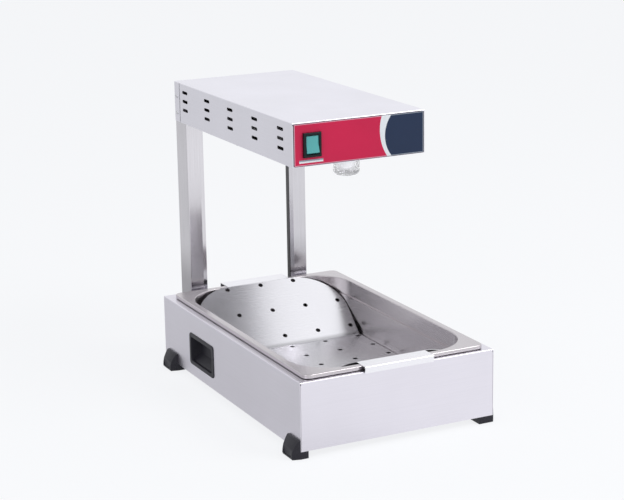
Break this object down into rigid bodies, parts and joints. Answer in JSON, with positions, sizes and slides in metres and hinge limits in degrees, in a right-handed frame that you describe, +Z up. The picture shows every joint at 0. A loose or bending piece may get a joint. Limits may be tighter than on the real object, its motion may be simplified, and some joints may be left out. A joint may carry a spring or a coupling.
{
  "type": "heated chip warmer",
  "caption": "Counter warmer for fried chips: a lamp and heater head on two rear posts over a steel base with a lift-out gastronorm pan and a perforated sloped insert.",
  "frame": {"origin": "under the middle of the whole part's box, on the surface that the feet stand on", "axes": "+Z up, -Y towards the server, at the switch and the pan's front hook, +X to the right as seen from the front"},
  "size_m": [0.3678, 0.6262, 0.5043],
  "materials": {
    "stainless_brushed": "satin brushed",
    "stainless_pan": "satin drawn",
    "slate_plastic": "moulded, fine matt",
    "front_print": "printed film, gloss",
    "black_plastic": "moulded, satin",
    "rocker_green": "clear tinted, gloss",
    "fastener_steel": "bright plated",
    "terminal_brass": "tinned strip",
    "clear_glass": "clear thick glass",
    "quartz_glass": "frosted quartz",
    "ceramic_white": "glazed ceramic",
    "reflector_aluminium": "bright rolled",
    "guard_wire": "bright drawn wire",
    "lead_sleeve": "silicone sleeve"
  },
  "bodies": {
    "base": {"base_shell": "stainless_brushed", "base_bottom_plate": "stainless_brushed", "rear_mount_rail": "stainless_brushed", "grip_left": "slate_plastic", "grip_right": "slate_plastic", "foot_front_left": "slate_plastic", "foot_front_right": "slate_plastic", "foot_rear_left": "slate_plastic", "foot_rear_right": "slate_plastic", "foot_screws": "fastener_steel", "bottom_plate_screws": "fastener_steel", "post_left": "stainless_brushed", "post_right": "stainless_brushed", "post_bolts": "fastener_steel", "post_nuts": "fastener_steel", "head_casing": "stainless_brushed", "head_underside_plate": "stainless_brushed", "head_rear_cover": "stainless_brushed", "front_overlay": "front_print", "switch_bezel": "black_plastic", "switch_terminals": "terminal_brass", "head_side_screws": "fastener_steel", "underside_screws": "fastener_steel", "lamp_holder_ring": "stainless_brushed", "lamp_glass": "clear_glass", "lamp_socket": "ceramic_white", "lamp_bulb": "quartz_glass", "lamp_screws": "fastener_steel", "heater_reflector": "reflector_aluminium", "quartz_tubes": "quartz_glass", "tube_end_caps": "ceramic_white", "wire_guard": "guard_wire", "terminal_block": "ceramic_white", "cable_gland": "black_plastic", "gland_nut": "black_plastic", "wiring": "lead_sleeve"},
    "rocker": {"switch_rocker": "rocker_green"},
    "pan": {"gn_pan": "stainless_pan"},
    "insert": {"perforated_insert": "stainless_brushed"}
  },
  "joints": [
    {"name": "rocker_tilt", "type": "hinge", "parent": "base", "child": "rocker", "pos_m": [-0.08025, -0.1829, 0.4675], "axis": [1, 0, 0], "range_deg": [0, 15]},
    {"name": "pan_lift", "type": "slide", "parent": "base", "child": "pan", "axis": [0, 0, 1], "range_m": [0, 0.115]},
    {"name": "insert_lift", "type": "slide", "parent": "pan", "child": "insert", "axis": [0, 0, 1], "range_m": [0, 0.1]}
  ]
}
